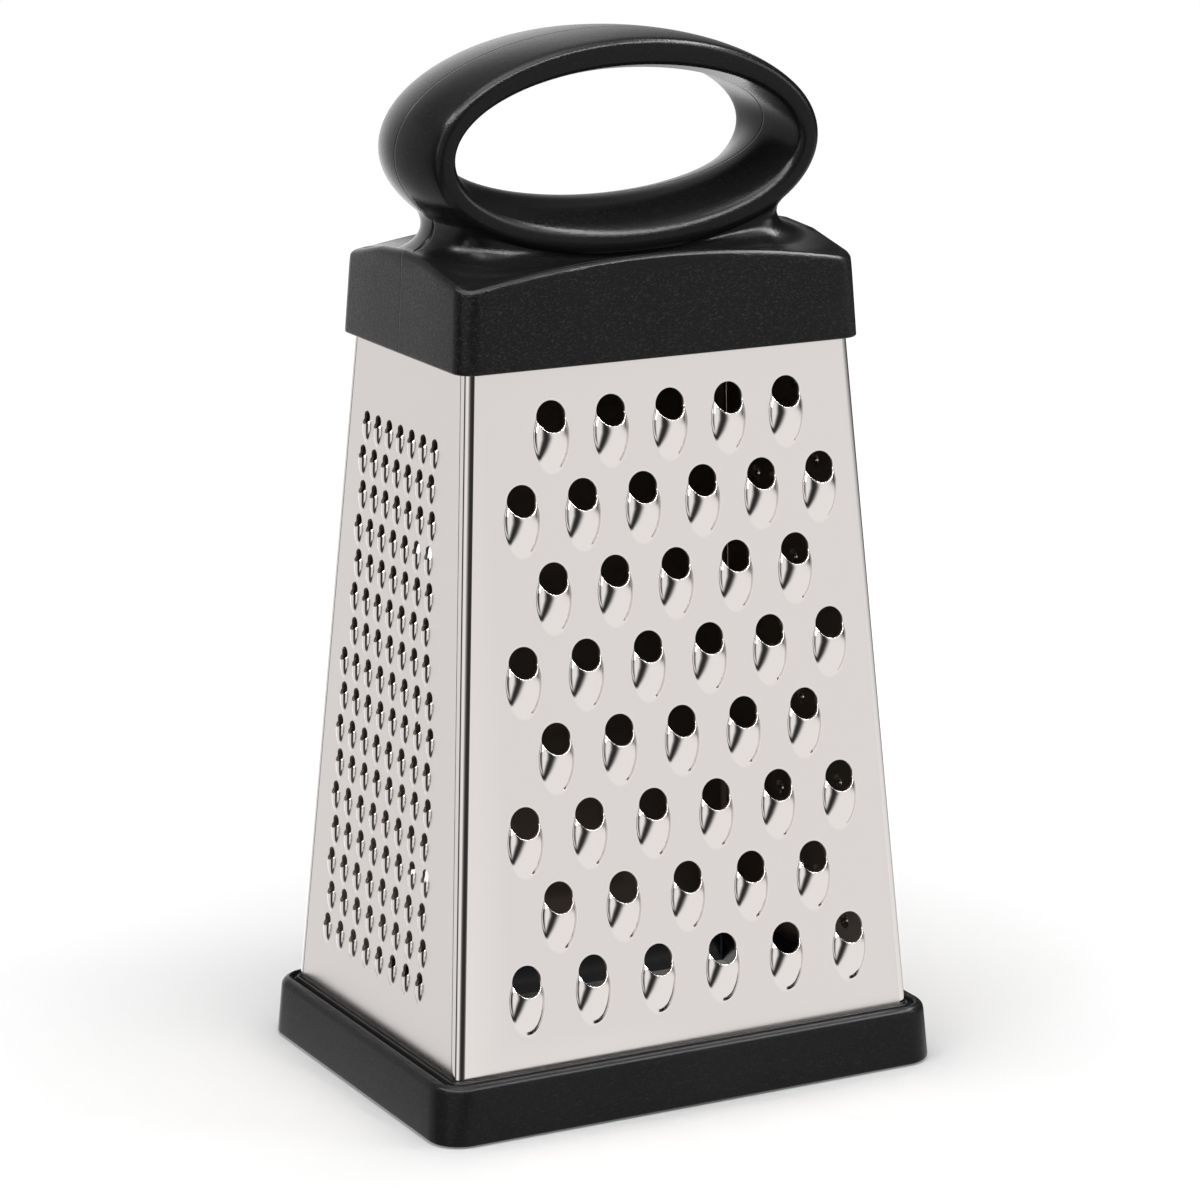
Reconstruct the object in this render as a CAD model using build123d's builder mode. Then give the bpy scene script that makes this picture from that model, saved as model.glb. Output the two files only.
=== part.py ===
from build123d import *
import math
import os

# Four-sided box grater: a tapered stainless body of four panels, a black handle cap made of
# two hollow shells, a clamp insert with its screws, and a black base ring.
# Millimetres, Z up. The origin lies on the floor under the middle of the base.
# The coarse face looks along -Y and the fine face looks along -X.

os.makedirs("parts", exist_ok=True)

# Clearances
overrun = 2.0
slide_gap = 0.15
seam_gap = 0.1

# Base ring: how far it stands out round the steel, and its own shape
rim_length = 5.75
rim_depth = 5.0
base_height = 13.0
base_draft = 0.95
base_corner_radius = 7.5
base_top_round = 1.6
base_foot_round = 0.8
groove_floor = 4.0
flare_width = 1.2
flare_depth = 1.5
inner_wall = 3.0

# Steel body, measured where it leaves the base ring and where it enters the cap
body_length_low = 111.5
body_depth_low = 81.2
body_length_high = 91.9
body_depth_high = 55.5
cap_bottom = 162.0
sheet = 0.6
steel_corner_radius = 2.0
least_corner_radius = 0.6
seam_setback = 0.4
panel_entry = 9.5

# Coarse teeth: the face height of each round hole's top, and the scoop under it
coarse_first_hole_top = 155.1
coarse_row_pitch = 17.04
coarse_rows = 8
coarse_column_pitch = 14.15
coarse_pitch_growth = 0.25
coarse_few = 5
coarse_shift = 1.5
coarse_hole_radius = 3.4
coarse_shoulder_drop = 5.2
coarse_scoop_half_width = 4.1
coarse_scoop_height = 2.7
coarse_scoop_length = 10.4

# Outline of a pointed scoop: how wide it still is, at which share of its length
belly_radius_share = 0.75
belly_place_share = 0.66

# Fine teeth
fine_first_hole_top = 146.0
fine_row_pitch = 7.65
fine_rows = 16
fine_rows_of_few = 7
fine_column_pitch = 5.55
fine_pitch_growth = 0.078
fine_few = 7
fine_shift = 2.3
fine_stagger = 0.5
fine_hole_radius = 1.25
fine_shoulder_drop = 1.9
fine_scoop_half_width = 1.5
fine_scoop_height = 1.1
fine_scoop_length = 4.3

# Slicing slots
slot_first = 146.8
slot_pitch = 38.9
slot_count = 4
slot_margin = 16.95
slot_height = 4.2
slot_ramp_length = 9.0
slot_lip_height = 2.2

# Zesting burrs
burr_first = 148.0
burr_row_pitch = 8.2
burr_rows = 16
burr_column_pitch = 7.6
burr_few = 4
burr_foot_radius = 1.7
burr_top_radius = 1.05
burr_height = 1.2
burr_bore_radius = 0.7

# Cap
cap_wall = 2.3
cap_draft = 1.0
cap_side_height = 17.2
cap_corner_radius = 4.5
crown_rise = 4.8
crown_edge_round = 1.5
cap_roof = 2.7
ledge_width = 3.5

# Handle loop: its ellipse at the seam, how that draws in towards the front, and its hole
loop_depth = 29.6
loop_centre = 204.0
loop_overhang = 1.6
loop_outer_half_height = 24.3
loop_front_draw_length = 3.1
loop_front_draw_height = 1.2
loop_band_length = 8.8
hole_centre = 205.5
hole_half_height = 14.4
hole_front_centre = 203.9
hole_flare_length = 1.1
hole_flare_height = 3.6
loop_wall = 2.2

# Neck between the cap and the loop: how far it stays in from the cap's top edges
neck_shoulder_length = 0.4
neck_shoulder_depth = 8.7
neck_corner_radius = 9.0
neck_flare_height = 8.0
neck_flare_length = 4.0
neck_flare_depth = 6.5

# Clamp insert, its bosses and screws
insert_raise = 2.0
insert_plate = 2.5
insert_wall = 2.0
boss_radius = 3.6
boss_inset_length = 14.0
boss_half_spacing = 12.0
screw_radius = 1.5
screw_length = 10.0
screw_head_radius = 3.0
screw_head_height = 2.0
recess_width = 0.8
recess_length = 3.2
recess_depth = 0.9
screw_clearance = 0.05

# Pegs that line up the two shells
peg_radius = 1.5
peg_length = 5.0
peg_boss_radius = 3.2

base_length = body_length_low + 2 * rim_length
base_depth = body_depth_low + 2 * rim_depth
slot_length = body_length_high - 2 * slot_margin
panel_top = cap_bottom + panel_entry
cap_corner_top = cap_bottom + cap_side_height
cavity_top = cap_corner_top - cap_roof
half_loop = loop_depth / 2
taper_height = cap_bottom - base_height
length_taper = (body_length_low - body_length_high) / 2 / taper_height
depth_taper = (body_depth_low - body_depth_high) / 2 / taper_height
insert_bottom = cap_bottom + insert_raise
insert_plate_top = insert_bottom + insert_plate
corner_seam = steel_corner_radius + seam_setback
steel_inset = sheet + slide_gap


def half_length(z):
    """Half of the steel body's outer length at a height."""
    return body_length_low / 2 - length_taper * (z - base_height)


def half_depth(z):
    """Half of the steel body's outer depth at a height."""
    return body_depth_low / 2 - depth_taper * (z - base_height)


def side_outline(low, high, z_low, z_high):
    """Closed line of a symmetric trapezoid with the given half widths and heights."""
    return Polyline((-low, z_low), (low, z_low), (high, z_high), (-high, z_high), close=True)


def tapered_form(lengths, depths, heights, radius):
    """Frustum with rounded corners; half lengths, half depths and heights at its two ends."""
    with BuildPart() as form:
        with BuildSketch(Plane.XZ):
            with BuildLine():
                side_outline(*lengths, *heights)
            make_face()
        extrude(amount=base_depth, both=True)
        with BuildSketch(Plane.YZ):
            with BuildLine():
                side_outline(*depths, *heights)
            make_face()
        extrude(amount=base_length, both=True, mode=Mode.INTERSECT)
        fillet(form.edges().filter_by(Axis.X, reverse=True).filter_by(Axis.Y, reverse=True), radius)
    return form.part


def tapered_block(z_low, z_high, inset):
    """Solid that follows the steel body between two heights, moved inward by inset."""
    lengths = (half_length(z_low) - inset, half_length(z_high) - inset)
    depths = (half_depth(z_low) - inset, half_depth(z_high) - inset)
    radius = max(steel_corner_radius - inset, least_corner_radius)
    return tapered_form(lengths, depths, (z_low, z_high), radius)


def face_region(side, setback):
    """Everything beyond a plane that follows the front (-1) or rear (+1) face, setback inside it."""
    z_low = groove_floor - overrun
    z_high = panel_top + overrun
    with BuildPart() as region:
        with BuildSketch(Plane.YZ):
            with BuildLine():
                Polyline(
                    (side * base_depth, z_low),
                    (side * (half_depth(z_low) - setback), z_low),
                    (side * (half_depth(z_high) - setback), z_high),
                    (side * base_depth, z_high),
                    close=True,
                )
            make_face()
        extrude(amount=base_length, both=True)
    return region.part


def side_region(side):
    """Everything on the left (-1) or right (+1) of the middle plane."""
    with BuildPart() as region:
        with BuildSketch(Plane.XY.offset(groove_floor - overrun)):
            with Locations((side * base_length / 2, 0)):
                Rectangle(base_length, 2 * base_depth)
        extrude(amount=panel_top)
    return region.part


def face_plane(side_x, side_y):
    """Plane on the outer surface of the panel that looks along (side_x, side_y), Y up the slope."""
    middle = (base_height + cap_bottom) / 2
    taper = length_taper if side_x else depth_taper
    tilt = math.atan(taper)
    origin = (side_x * half_length(middle), side_y * half_depth(middle), middle)
    normal = (side_x * math.cos(tilt), side_y * math.cos(tilt), math.sin(tilt))
    return Plane(origin=origin, x_dir=(-side_y, side_x, 0), z_dir=normal)


def face_spot(plane, x, z, depth):
    """Location on a panel: x across it, z the height above the floor, depth under its surface."""
    up_slope = (z - plane.origin.Z) / plane.y_dir.Z
    return plane.location * Location((x, up_slope, -depth))


def scoop_size(half_width, height, length):
    """Radius, depth of the axis and length of the bullet that shows as such a scoop."""
    radius = (half_width**2 + height**2) / (2 * height)
    depth = radius - height
    return radius, depth, length * radius / half_width


def scoop_block(radius, length, cut_height, pointed):
    """Bullet with its blunt end at the origin and its nose down the Y axis, above cut_height."""
    with BuildPart() as scoop:
        with BuildSketch(Plane.XY):
            with BuildLine():
                if pointed:
                    belly = (belly_radius_share * radius, -belly_place_share * length)
                    Spline((0, -length), belly, (radius, 0), tangents=((1, 0), (0, 1)))
                else:
                    CenterArc((0, radius - length), radius, 270, 90)
                    Line((radius, radius - length), (radius, 0))
                Polyline((radius, 0), (0, 0), (0, -length))
            make_face()
        revolve(axis=Axis.Y)
        split(bisect_by=Plane.XY.offset(cut_height))
    return scoop.part


def row_places(count, pitch, shift):
    """Evenly spaced places across a row, about a middle that is shifted."""
    return [shift + pitch * (i - (count - 1) / 2) for i in range(count)]


def coarse_grid():
    """Place across and height of each coarse hole's top."""
    grid = []
    for row in range(coarse_rows):
        count = coarse_few + row % 2
        pitch = coarse_column_pitch + coarse_pitch_growth * row
        height = coarse_first_hole_top - coarse_row_pitch * row
        grid += [(x, height) for x in row_places(count, pitch, coarse_shift)]
    return grid


def fine_grid():
    """Place across and height of each fine hole's top; across runs towards the front."""
    grid = []
    for row in range(fine_rows):
        count = fine_few if row < fine_rows_of_few else fine_few + 1
        pitch = fine_column_pitch + fine_pitch_growth * row
        shift = -fine_shift + fine_stagger * (-1) ** row
        height = fine_first_hole_top - fine_row_pitch * row
        grid += [(x, height) for x in row_places(count, pitch, shift)]
    return grid


def burr_row(row):
    """Place across and height of each zesting burr in a row; rows are staggered by half a pitch."""
    height = burr_first - burr_row_pitch * row
    return [(x, height) for x in row_places(burr_few + row % 2, burr_column_pitch, 0)]


def toothed_panel(blank, plane, grid, hole_radius, shoulder_drop, scoop, pointed):
    """Panel with a round hole at each place of the grid and a scoop below each hole.

    A pointed scoop is hollow; a small round-nosed one is solid up to its lip.
    """
    radius, depth, length = scoop_size(*scoop)
    outer_scoop = scoop_block(radius, length, depth - sheet / 2, pointed)
    inner_scoop = scoop_block(radius - sheet, length - sheet, depth - 2 * sheet, pointed)
    shoulders = [face_spot(plane, x, top - shoulder_drop, depth) for x, top in grid]
    holes = [face_spot(plane, x, top - hole_radius, 0) for x, top in grid]
    with BuildPart() as panel:
        add(blank)
        with Locations(*shoulders):
            add(outer_scoop)
        if pointed:
            with Locations(*shoulders):
                add(inner_scoop, mode=Mode.SUBTRACT)
        with Locations(*holes):
            Cylinder(hole_radius, 2 * radius, mode=Mode.SUBTRACT)
    return panel.part


def slicing_face(blank, plane):
    """Panel with wide slots, each above a ramp that ends in a raised blade."""
    slots = [face_spot(plane, 0, slot_first - slot_pitch * i, 0) for i in range(slot_count)]
    ramps = []
    for length, drop in ((slot_length, 0), (slot_length - 2 * sheet, sheet)):
        with BuildPart() as ramp:
            with BuildSketch(Plane.YZ):
                with BuildLine():
                    Polyline(
                        (0, -drop - sheet / 2),
                        (0, slot_lip_height - drop),
                        (-slot_ramp_length, -drop),
                        (-slot_ramp_length, -drop - sheet / 2),
                        close=True,
                    )
                make_face()
            extrude(amount=length / 2, both=True)
        ramps.append(ramp.part)
    with BuildPart() as panel:
        add(blank)
        with Locations(*slots):
            add(ramps[0])
        with Locations(*slots):
            add(ramps[1], mode=Mode.SUBTRACT)
        with Locations(*slots):
            Box(slot_length, slot_height, 2 * slot_height, align=(Align.CENTER, Align.MIN, Align.CENTER),
                mode=Mode.SUBTRACT)
    return panel.part


def burr_block():
    """Raised cone round a bore, foot at the origin."""
    with BuildPart() as burr:
        with BuildSketch(Plane.XZ):
            Polygon(
                (burr_bore_radius, 0),
                (burr_foot_radius, 0),
                (burr_top_radius, burr_height + sheet / 2),
                (burr_bore_radius, burr_height + sheet / 2),
                align=None,
            )
        revolve(axis=Axis.Z)
    return burr.part


def zesting_face(blank, plane):
    """Panel with staggered burrs, each a raised cone round a small bore."""
    burr = burr_block()
    with BuildPart() as panel:
        add(blank)
        for row in range(burr_rows):
            spots = [face_spot(plane, x, z, sheet / 2) for x, z in burr_row(row)]
            with Locations(*spots):
                Cylinder(burr_bore_radius, 4 * sheet, mode=Mode.SUBTRACT)
            with Locations(*spots):
                add(burr)
    return panel.part


def wide_blank(side):
    """Front or rear panel: the face, its two corner folds and their short returns."""
    region = face_region(side, corner_seam)
    with BuildPart() as blank:
        add(body_outer)
        add(body_core, mode=Mode.SUBTRACT)
        add(region, mode=Mode.INTERSECT)
    return blank.part


def narrow_blank(side):
    """Left or right panel, which meets the returns of the wide panels."""
    front = face_region(-1, corner_seam + seam_gap)
    rear = face_region(1, corner_seam + seam_gap)
    region = side_region(side)
    with BuildPart() as blank:
        add(body_outer)
        add(body_core, mode=Mode.SUBTRACT)
        add(front, mode=Mode.SUBTRACT)
        add(rear, mode=Mode.SUBTRACT)
        add(region, mode=Mode.INTERSECT)
    return blank.part


def save(piece, name):
    """Label a finished piece and write it as one STEP file."""
    piece.label = name
    export_step(piece, f"parts/{name}.step")


# Steel panels
body_outer = tapered_block(groove_floor, panel_top, 0)
body_core = tapered_block(groove_floor - overrun, panel_top + overrun, sheet)

coarse_scoop = (coarse_scoop_half_width, coarse_scoop_height, coarse_scoop_length)
coarse_panel = toothed_panel(wide_blank(-1), face_plane(0, -1), coarse_grid(),
                             coarse_hole_radius, coarse_shoulder_drop, coarse_scoop, True)
save(coarse_panel, "coarse_panel")

fine_scoop = (fine_scoop_half_width, fine_scoop_height, fine_scoop_length)
fine_panel = toothed_panel(narrow_blank(-1), face_plane(-1, 0), fine_grid(),
                           fine_hole_radius, fine_shoulder_drop, fine_scoop, False)
save(fine_panel, "fine_panel")

save(slicing_face(wide_blank(1), face_plane(0, 1)), "slicing_panel")
save(zesting_face(narrow_blank(1), face_plane(1, 0)), "zesting_panel")

# Base ring: an outer band and an inner lip with the steel's groove between them
base_form = tapered_form((base_length / 2, base_length / 2 - base_draft),
                         (base_depth / 2, base_depth / 2 - base_draft),
                         (0, base_height), base_corner_radius)
ring_opening = tapered_block(-overrun, base_height + overrun, steel_inset + inner_wall)
groove_outer = tapered_block(groove_floor, base_height + overrun, -slide_gap)
groove_inner = tapered_block(groove_floor - overrun, base_height + 2 * overrun, steel_inset)
groove_flare = tapered_block(base_height - flare_depth, base_height + overrun, -flare_width)
with BuildPart() as groove:
    add(groove_outer)
    add(groove_flare)
    add(groove_inner, mode=Mode.SUBTRACT)
with BuildPart() as base_ring:
    add(base_form)
    fillet(base_ring.edges().group_by(Axis.Z)[-1], base_top_round)
    fillet(base_ring.edges().group_by(Axis.Z)[0], base_foot_round)
    add(ring_opening, mode=Mode.SUBTRACT)
    add(groove.part, mode=Mode.SUBTRACT)
save(base_ring.part, "base_ring")

# Clamp insert: a tray inside the panels' top, open upward, with a hole for each screw
boss_x = half_length(panel_top) - boss_inset_length
boss_spots = [(x, y) for x in (-boss_x, boss_x) for y in (-boss_half_spacing, boss_half_spacing)]
insert_top = panel_top - slide_gap
insert_form = tapered_block(insert_bottom, insert_top, steel_inset)
insert_hollow = tapered_block(insert_plate_top, insert_top + overrun, steel_inset + insert_wall)
with BuildPart() as clamp_insert:
    add(insert_form)
    add(insert_hollow, mode=Mode.SUBTRACT)
    with Locations(*[(x, y, insert_bottom) for x, y in boss_spots]):
        Cylinder(screw_radius + screw_clearance, 2 * insert_plate + overrun, mode=Mode.SUBTRACT)
save(clamp_insert.part, "clamp_insert")

# Screws: flat heads under the insert with a cross recess, shanks up into the bosses
with BuildPart() as clamp_screws:
    with Locations(*[(x, y, insert_bottom) for x, y in boss_spots]):
        Cylinder(screw_head_radius, screw_head_height, align=(Align.CENTER, Align.CENTER, Align.MAX))
        Cylinder(screw_radius, screw_length, align=(Align.CENTER, Align.CENTER, Align.MIN))
    with Locations(*[(x, y, insert_bottom - screw_head_height) for x, y in boss_spots]):
        Box(recess_length, recess_width, 2 * recess_depth, mode=Mode.SUBTRACT)
        Box(recess_width, recess_length, 2 * recess_depth, mode=Mode.SUBTRACT)
save(clamp_screws.part, "clamp_screws")


def crown_cutter():
    """Solid above the dished crown, which is high at the middle of each edge."""
    reach_x = cap_top_length + overrun
    reach_y = cap_top_depth + overrun
    curl_x = (reach_x / cap_top_length) ** 2
    curl_y = (reach_y / cap_top_depth) ** 2
    net = []
    for x, p in ((-reach_x, curl_x), (0, -curl_x), (reach_x, curl_x)):
        across = ((-reach_y, curl_y), (0, -curl_y), (reach_y, curl_y))
        net.append([(x, y, cap_corner_top + crown_rise * (p + q - 2 * p * q)) for y, q in across])
    with BuildPart() as cutter:
        extrude(Face.make_bezier_surface(net), amount=loop_depth, dir=(0, 0, 1))
    return cutter.part


def outer_ellipse(share, inset):
    """Half length, half height and centre of the loop's outside at a share of its half depth."""
    half_long = loop_outer_half_length - loop_front_draw_length * share**2
    half_high = loop_outer_half_height - loop_front_draw_height * share**2
    return half_long - inset, half_high - inset, loop_centre


def hole_ellipse(share, inset):
    """Half length, half height and centre of the loop's hole, which opens towards the front."""
    half_long = hole_half_length + hole_flare_length * share**2
    half_high = hole_half_height + hole_flare_height * share**2
    centre = hole_centre + (hole_front_centre - hole_centre) * share**2
    return half_long + inset, half_high + inset, centre


def barrel(ellipse_at, shares, inset):
    """Solid through the ellipses at these shares of the half depth, from the seam forwards."""
    with BuildPart() as solid:
        for share in shares:
            half_long, half_high, centre = ellipse_at(share, inset)
            with BuildSketch(Plane.XZ.offset(share * half_loop)):
                with Locations((0, centre)):
                    Ellipse(half_long, half_high)
        loft()
    return solid.part


def neck_form():
    """Neck from the crown up into the loop, flared where it meets the crown."""
    with BuildPart() as neck:
        for share in neck_shares:
            spread = (1 - share) ** 2
            with BuildSketch(Plane.XY.offset(cap_corner_top + share * neck_flare_height)):
                RectangleRounded(2 * (neck_half_length + neck_flare_length * spread),
                                 2 * (neck_half_depth + neck_flare_depth * spread),
                                 neck_corner_radius)
        loft()
        with BuildSketch(Plane.XY.offset(cap_corner_top + neck_flare_height)):
            RectangleRounded(2 * neck_half_length, 2 * neck_half_depth, neck_corner_radius)
        extrude(amount=loop_centre - cap_corner_top - neck_flare_height)
    return neck.part


# Handle: one hollow half with its part of the loop, the neck and the cap
seam_to_front_shares = (0, 1 / 3, 2 / 3, 1)
past_front_shares = (0, 1 / 3, 2 / 3, 1, 4 / 3)
neck_shares = (0, 1 / 3, 2 / 3, 1)
cap_length = half_length(cap_bottom) + slide_gap + cap_wall
cap_depth = half_depth(cap_bottom) + slide_gap + cap_wall
cap_top_length = cap_length - cap_draft
cap_top_depth = cap_depth - cap_draft
neck_half_length = cap_top_length - neck_flare_length - neck_shoulder_length
neck_half_depth = cap_top_depth - neck_flare_depth - neck_shoulder_depth
loop_outer_half_length = cap_top_length + loop_overhang
hole_half_length = loop_outer_half_length - loop_band_length
cap_form = tapered_form((cap_length, cap_length - 2 * cap_draft), (cap_depth, cap_depth - 2 * cap_draft),
                        (cap_bottom, cap_bottom + 2 * cap_side_height), cap_corner_radius)
crown = crown_cutter()
neck = neck_form()
outer_barrel = barrel(outer_ellipse, seam_to_front_shares, 0)
hole_barrel = barrel(hole_ellipse, past_front_shares, 0)
cavity_share = 1 - loop_wall / half_loop
cavity_shares = [cavity_share * share for share in seam_to_front_shares]
cavity_outer = barrel(outer_ellipse, cavity_shares, loop_wall)
cavity_core = barrel(hole_ellipse, past_front_shares, loop_wall)
steel_room = tapered_block(cap_bottom - overrun, panel_top, -slide_gap)
upper_room = tapered_block(panel_top - overrun, cavity_top, ledge_width)
loop_top = loop_centre + loop_outer_half_height
wall_top = (loop_top + hole_centre + hole_half_height) / 2
wall_side = (loop_outer_half_length + hole_half_length) / 2
peg_spots = [(-wall_side, loop_centre), (0, wall_top), (wall_side, loop_centre)]

with BuildPart() as crowned_cap:
    add(cap_form)
    add(crown, mode=Mode.SUBTRACT)
    fillet(crowned_cap.faces().sort_by(Axis.Z)[-1].edges(), crown_edge_round)
with BuildPart() as loop_cavity:
    add(cavity_outer)
    add(cavity_core, mode=Mode.SUBTRACT)
    with BuildSketch(Plane.XZ):
        with Locations(*peg_spots):
            Circle(peg_boss_radius)
    extrude(amount=half_loop, mode=Mode.SUBTRACT)
with BuildPart() as half_shell:
    add(crowned_cap.part)
    add(neck)
    split(bisect_by=Plane.XZ)
    add(outer_barrel)
    add(hole_barrel, mode=Mode.SUBTRACT)
    add(loop_cavity.part, mode=Mode.SUBTRACT)
    add(steel_room, mode=Mode.SUBTRACT)
    add(upper_room, mode=Mode.SUBTRACT)
    with BuildSketch(Plane.XY.offset(insert_plate_top)):
        with Locations((-boss_x, -boss_half_spacing), (boss_x, -boss_half_spacing)):
            Circle(boss_radius)
    extrude(amount=cavity_top - insert_plate_top + cap_roof / 2)
    with BuildSketch(Plane.XY.offset(insert_plate_top)):
        with Locations((-boss_x, -boss_half_spacing), (boss_x, -boss_half_spacing)):
            Circle(screw_radius + screw_clearance)
    extrude(amount=screw_length - insert_plate + slide_gap, mode=Mode.SUBTRACT)

with BuildPart() as handle_front_shell:
    add(half_shell.part)
    with BuildSketch(Plane.XZ):
        with Locations(*peg_spots):
            Circle(peg_radius)
    extrude(amount=-peg_length)
save(handle_front_shell.part, "handle_front_shell")

with BuildPart() as handle_rear_shell:
    mirror(half_shell.part, about=Plane.XZ)
    with BuildSketch(Plane.XZ):
        with Locations(*peg_spots):
            Circle(peg_radius + screw_clearance)
    extrude(amount=-peg_length - slide_gap, mode=Mode.SUBTRACT)
save(handle_rear_shell.part, "handle_rear_shell")
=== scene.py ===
# %% [markdown]
# A box grater, dressed around its CAD model. The frame is loaded first, and every piece below is
# made in the same coordinates: Z up, the origin on the floor under the middle of the base,
# the coarse face towards -Y and the fine face towards -X.

# %% Load the frame
import math

import bmesh
import bpy
import numpy as np
from mathutils import Matrix, Vector


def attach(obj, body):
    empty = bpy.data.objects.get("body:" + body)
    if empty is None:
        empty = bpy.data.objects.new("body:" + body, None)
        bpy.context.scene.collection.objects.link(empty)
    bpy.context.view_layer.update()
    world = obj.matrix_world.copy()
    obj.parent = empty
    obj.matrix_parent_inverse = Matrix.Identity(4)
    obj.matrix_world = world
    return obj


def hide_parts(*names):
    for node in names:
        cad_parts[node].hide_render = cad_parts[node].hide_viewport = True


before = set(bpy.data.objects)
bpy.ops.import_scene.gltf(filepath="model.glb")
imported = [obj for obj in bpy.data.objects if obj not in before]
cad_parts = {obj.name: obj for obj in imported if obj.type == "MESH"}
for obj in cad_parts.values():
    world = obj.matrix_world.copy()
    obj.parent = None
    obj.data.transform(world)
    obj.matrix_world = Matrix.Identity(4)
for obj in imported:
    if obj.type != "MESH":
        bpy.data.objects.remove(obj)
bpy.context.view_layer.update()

# %% [markdown]
# Sizes are written in millimetres, as on the maker's drawing, and become Blender's metres when a
# finished mesh is placed. The steel body tapers, so its length and depth are known at two heights,
# where it leaves the base ring and where it enters the cap, and follow from those at any other.

# %% The drawing's main sizes
MM = 0.001
steel_low, steel_high = 13.0, 162.0
steel_foot, steel_top = 4.0, 171.5
length_low, length_high = 111.5, 91.9
depth_low, depth_high = 81.2, 55.5
sheet = 0.6
fold_radius = 2.0
slide_gap = 0.15
middle = (steel_low + steel_high) / 2


def half_length(z):
    """Half of the steel body's length at a height."""
    return (length_low + (length_high - length_low) * (z - steel_low) / (steel_high - steel_low)) / 2


def half_depth(z):
    """Half of the steel body's depth at a height."""
    return (depth_low + (depth_high - depth_low) * (z - steel_low) / (steel_high - steel_low)) / 2


for level in (steel_foot, steel_top):
    size = 2 * half_length(level), 2 * half_depth(level)
    print("steel at", level, "mm:", round(size[0], 2), "by", round(size[1], 2))

# %% [markdown]
# The camera could be placed by eye. Here its place and lens come from the photograph's perspective:
# a long lens, to the left of the coarse face and a little above the object.

# %% Camera
camera_data = bpy.data.cameras.new("camera")
camera_data.lens = 137.64
camera_data.sensor_width = 36.0
camera = bpy.data.objects.new("camera", camera_data)
bpy.context.collection.objects.link(camera)
camera.location = Vector((-456.6, -862.6, 348.2)) * MM
aim = Vector((0, 0, 102.6)) * MM
camera.rotation_euler = (aim - camera.location).to_track_quat("-Z", "Y").to_euler()
bpy.context.scene.camera = camera
bpy.context.scene.view_settings.view_transform = "Standard"
print("camera at", tuple(round(v, 3) for v in camera.location))

# %% [markdown]
# Node trees are written as Python expressions. A Plug wraps one socket: arithmetic on it adds
# Math nodes, and node() adds any other kind, with its settings first and its inputs after.


# %% A socket that can be calculated with
class Plug:
    """One output socket of a node tree."""

    def __init__(self, tree, socket=None):
        self.tree = tree
        self.socket = socket

    def node(self, kind, settings=None, inputs=None, out=0):
        """Add a node, with its settings first and then the values or links of its sockets."""
        made = self.tree.nodes.new(kind)
        for name, value in (settings or {}).items():
            if name == "stops":
                stops = made.color_ramp.elements
                stops.remove(stops[1])
                stops[0].position, stops[0].color = value[0][0], (*value[0][1], 1)
                for place, colour in value[1:]:
                    stops.new(place).color = (*colour, 1)
            else:
                setattr(made, name, value)
        for name, value in (inputs or {}).items():
            if isinstance(value, Plug):
                self.tree.links.new(value.socket, made.inputs[name])
            else:
                made.inputs[name].default_value = value
        return Plug(self.tree, made.outputs[out])

    def math(self, operation, *values):
        """Add a Math node on Plugs or plain numbers."""
        return self.node("ShaderNodeMath", {"operation": operation}, dict(enumerate(values)))

    def mix(self, factor, low, high):
        """A colour between two others."""
        return self.node("ShaderNodeMix", {"data_type": "RGBA"}, {0: factor, 6: low, 7: high}, 2)

    def ramp(self, *stops):
        """A factor that follows grey stops, each a place and a value."""
        grey = [(place, (value, value, value)) for place, value in stops]
        return self.node("ShaderNodeValToRGB", {"stops": grey}, {0: self})

    def __add__(self, other):
        return self.math("ADD", self, other)

    def __radd__(self, other):
        return self.math("ADD", other, self)

    def __sub__(self, other):
        return self.math("SUBTRACT", self, other)

    def __rsub__(self, other):
        return self.math("SUBTRACT", other, self)

    def __mul__(self, other):
        return self.math("MULTIPLY", self, other)

    def __rmul__(self, other):
        return self.math("MULTIPLY", other, self)

    def __truediv__(self, other):
        return self.math("DIVIDE", self, other)

    def __rtruediv__(self, other):
        return self.math("DIVIDE", other, self)

    def __gt__(self, other):
        return self.math("GREATER_THAN", self, other)


def scaled(tint, factor):
    """A tint made lighter or darker, as a colour with its alpha."""
    return [part * factor for part in tint] + [1]


def new_material(name):
    """A node material; gives the material, a Plug on its tree and its shader node."""
    material = bpy.data.materials.new(name)
    material.use_nodes = True
    tree = material.node_tree
    return material, Plug(tree), tree.nodes["Principled BSDF"]


def feed(plug, shader, name):
    """Link a Plug to one of the shader's inputs."""
    plug.tree.links.new(plug.socket, shader.inputs[name])
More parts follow.
